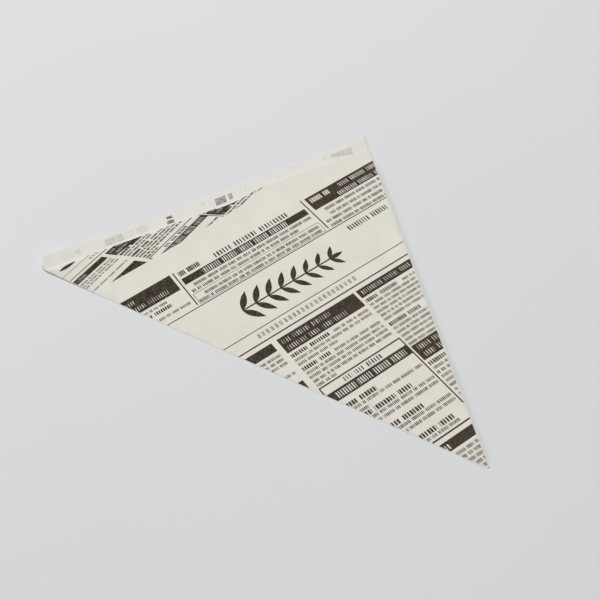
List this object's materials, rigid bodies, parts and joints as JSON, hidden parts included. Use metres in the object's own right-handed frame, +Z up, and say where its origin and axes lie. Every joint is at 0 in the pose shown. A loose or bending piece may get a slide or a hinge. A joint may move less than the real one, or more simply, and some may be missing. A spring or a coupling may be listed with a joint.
{
  "type": "paper cone",
  "caption": "Flat pointed paper bag, one sheet folded corner to corner and glued down one side, open at a mouth with a thumb lip.",
  "frame": {"origin": "middle of the bag's footprint, on the surface it lies on", "axes": "+Z up; +Y from the tip towards the mouth, along the glued side; +X across the mouth, from the fold towards the glued side"},
  "size_m": [0.2054, 0.209, 0.0031],
  "materials": {
    "printed_paper": "matte"
  },
  "bodies": {
    "root": {"cone": "printed_paper"}
  },
  "joints": []
}
